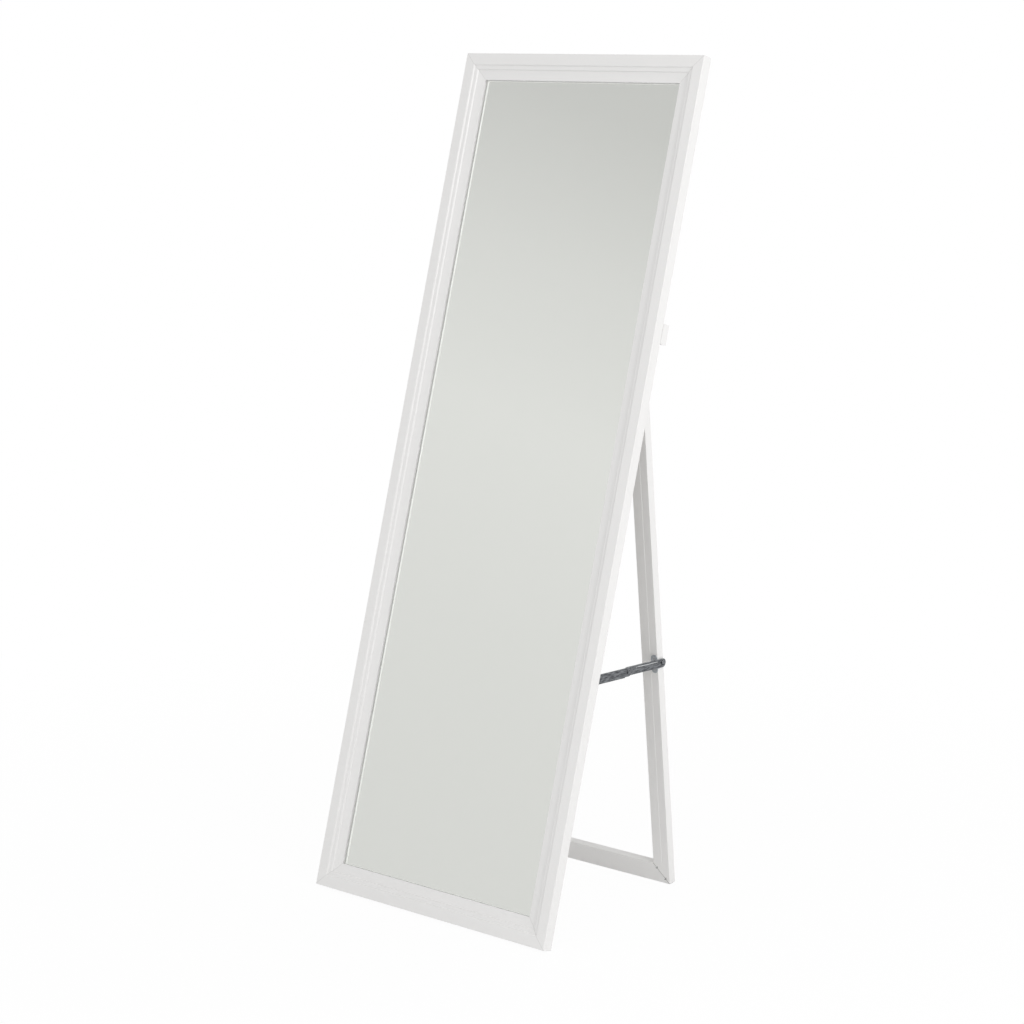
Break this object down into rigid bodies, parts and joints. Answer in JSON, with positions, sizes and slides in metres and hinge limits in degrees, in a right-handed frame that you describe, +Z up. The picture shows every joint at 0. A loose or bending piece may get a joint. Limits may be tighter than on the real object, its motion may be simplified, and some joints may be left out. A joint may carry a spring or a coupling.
{
  "type": "floor mirror",
  "caption": "Tall framed floor mirror that leans back on a hinged rear leg frame, held open by folding side stays.",
  "frame": {"origin": "on the floor, in the middle of the standing mirror's footprint", "axes": "+Z up, -Y towards the person in front of the mirror, +Y to the rear leg, +X to the mirror's right side as seen from the front"},
  "size_m": [0.55, 0.4698, 1.5419],
  "materials": {
    "white_lacquer": "white satin lacquer",
    "mirror_glass": "clear float glass",
    "silvering": "silvered",
    "safety_film": "matt film",
    "hardboard": "bare hardboard",
    "stay_steel": "dark zinc-plated pressed steel",
    "zinc_steel": "bright zinc plate",
    "nail_steel": "plain steel"
  },
  "bodies": {
    "mirror": {"back_panel": "hardboard", "batten_screws": "zinc_steel", "frame_bottom_rail": "white_lacquer", "frame_left_stile": "white_lacquer", "frame_right_stile": "white_lacquer", "frame_top_rail": "white_lacquer", "frame_v_nails": "nail_steel", "hinge_batten": "white_lacquer", "hinge_fixed_screws": "zinc_steel", "hinge_left_fixed_leaf": "zinc_steel", "hinge_left_pin": "zinc_steel", "hinge_right_fixed_leaf": "zinc_steel", "hinge_right_pin": "zinc_steel", "mirror_glass": "mirror_glass", "mirror_silvering": "silvering", "panel_points": "nail_steel", "safety_film": "safety_film", "stay_frame_bracket_screws": "zinc_steel", "stay_left_frame_bracket": "stay_steel", "stay_left_frame_rivet": "stay_steel", "stay_right_frame_bracket": "stay_steel", "stay_right_frame_rivet": "stay_steel"},
    "rear_leg": {"hinge_left_moving_leaf": "zinc_steel", "hinge_moving_screws": "zinc_steel", "hinge_right_moving_leaf": "zinc_steel", "leg_bottom_rail": "white_lacquer", "leg_left_stile": "white_lacquer", "leg_right_stile": "white_lacquer", "leg_top_rail": "white_lacquer", "leg_v_nails": "nail_steel", "stay_left_leg_bracket": "stay_steel", "stay_left_leg_rivet": "stay_steel", "stay_leg_bracket_screws": "zinc_steel", "stay_right_leg_bracket": "stay_steel", "stay_right_leg_rivet": "stay_steel"},
    "stay_left_leg_arm_body": {"stay_left_leg_arm": "stay_steel", "stay_left_leg_arm_rivet": "stay_steel"},
    "stay_left_frame_arm_body": {"stay_left_frame_arm": "stay_steel", "stay_left_frame_arm_rivet": "stay_steel"},
    "stay_right_leg_arm_body": {"stay_right_leg_arm": "stay_steel", "stay_right_leg_arm_rivet": "stay_steel"},
    "stay_right_frame_arm_body": {"stay_right_frame_arm": "stay_steel", "stay_right_frame_arm_rivet": "stay_steel"}
  },
  "joints": [
    {"name": "leg_fold", "type": "hinge", "parent": "mirror", "child": "rear_leg", "pos_m": [0, 0.11057, 1.03469], "axis": [-1, 0, 0], "range_deg": [0, 22.31]},
    {"name": "stay_right_frame_pivot", "type": "hinge", "parent": "mirror", "child": "stay_right_frame_arm_body", "pos_m": [0.23845, -0.06855, 0.45053], "axis": [-1, 0, 0], "range_deg": [-76.54, 0]},
    {"name": "stay_right_leg_pivot", "type": "hinge", "parent": "rear_leg", "child": "stay_right_leg_arm_body", "pos_m": [0.23455, 0.16525, 0.43913], "axis": [-1, 0, 0], "range_deg": [0, 81.17]},
    {"name": "stay_left_frame_pivot", "type": "hinge", "parent": "mirror", "child": "stay_left_frame_arm_body", "pos_m": [-0.23845, -0.06855, 0.45053], "axis": [-1, 0, 0], "range_deg": [-76.54, 0]},
    {"name": "stay_left_leg_pivot", "type": "hinge", "parent": "rear_leg", "child": "stay_left_leg_arm_body", "pos_m": [-0.23455, 0.16525, 0.43913], "axis": [-1, 0, 0], "range_deg": [0, 81.17]}
  ],
  "couplings": [
    {"joint": "stay_right_frame_pivot", "follows": "leg_fold", "ratio": -3.4303},
    {"joint": "stay_right_leg_pivot", "follows": "leg_fold", "ratio": 3.6378},
    {"joint": "stay_left_frame_pivot", "follows": "leg_fold", "ratio": -3.4303},
    {"joint": "stay_left_leg_pivot", "follows": "leg_fold", "ratio": 3.6378}
  ]
}
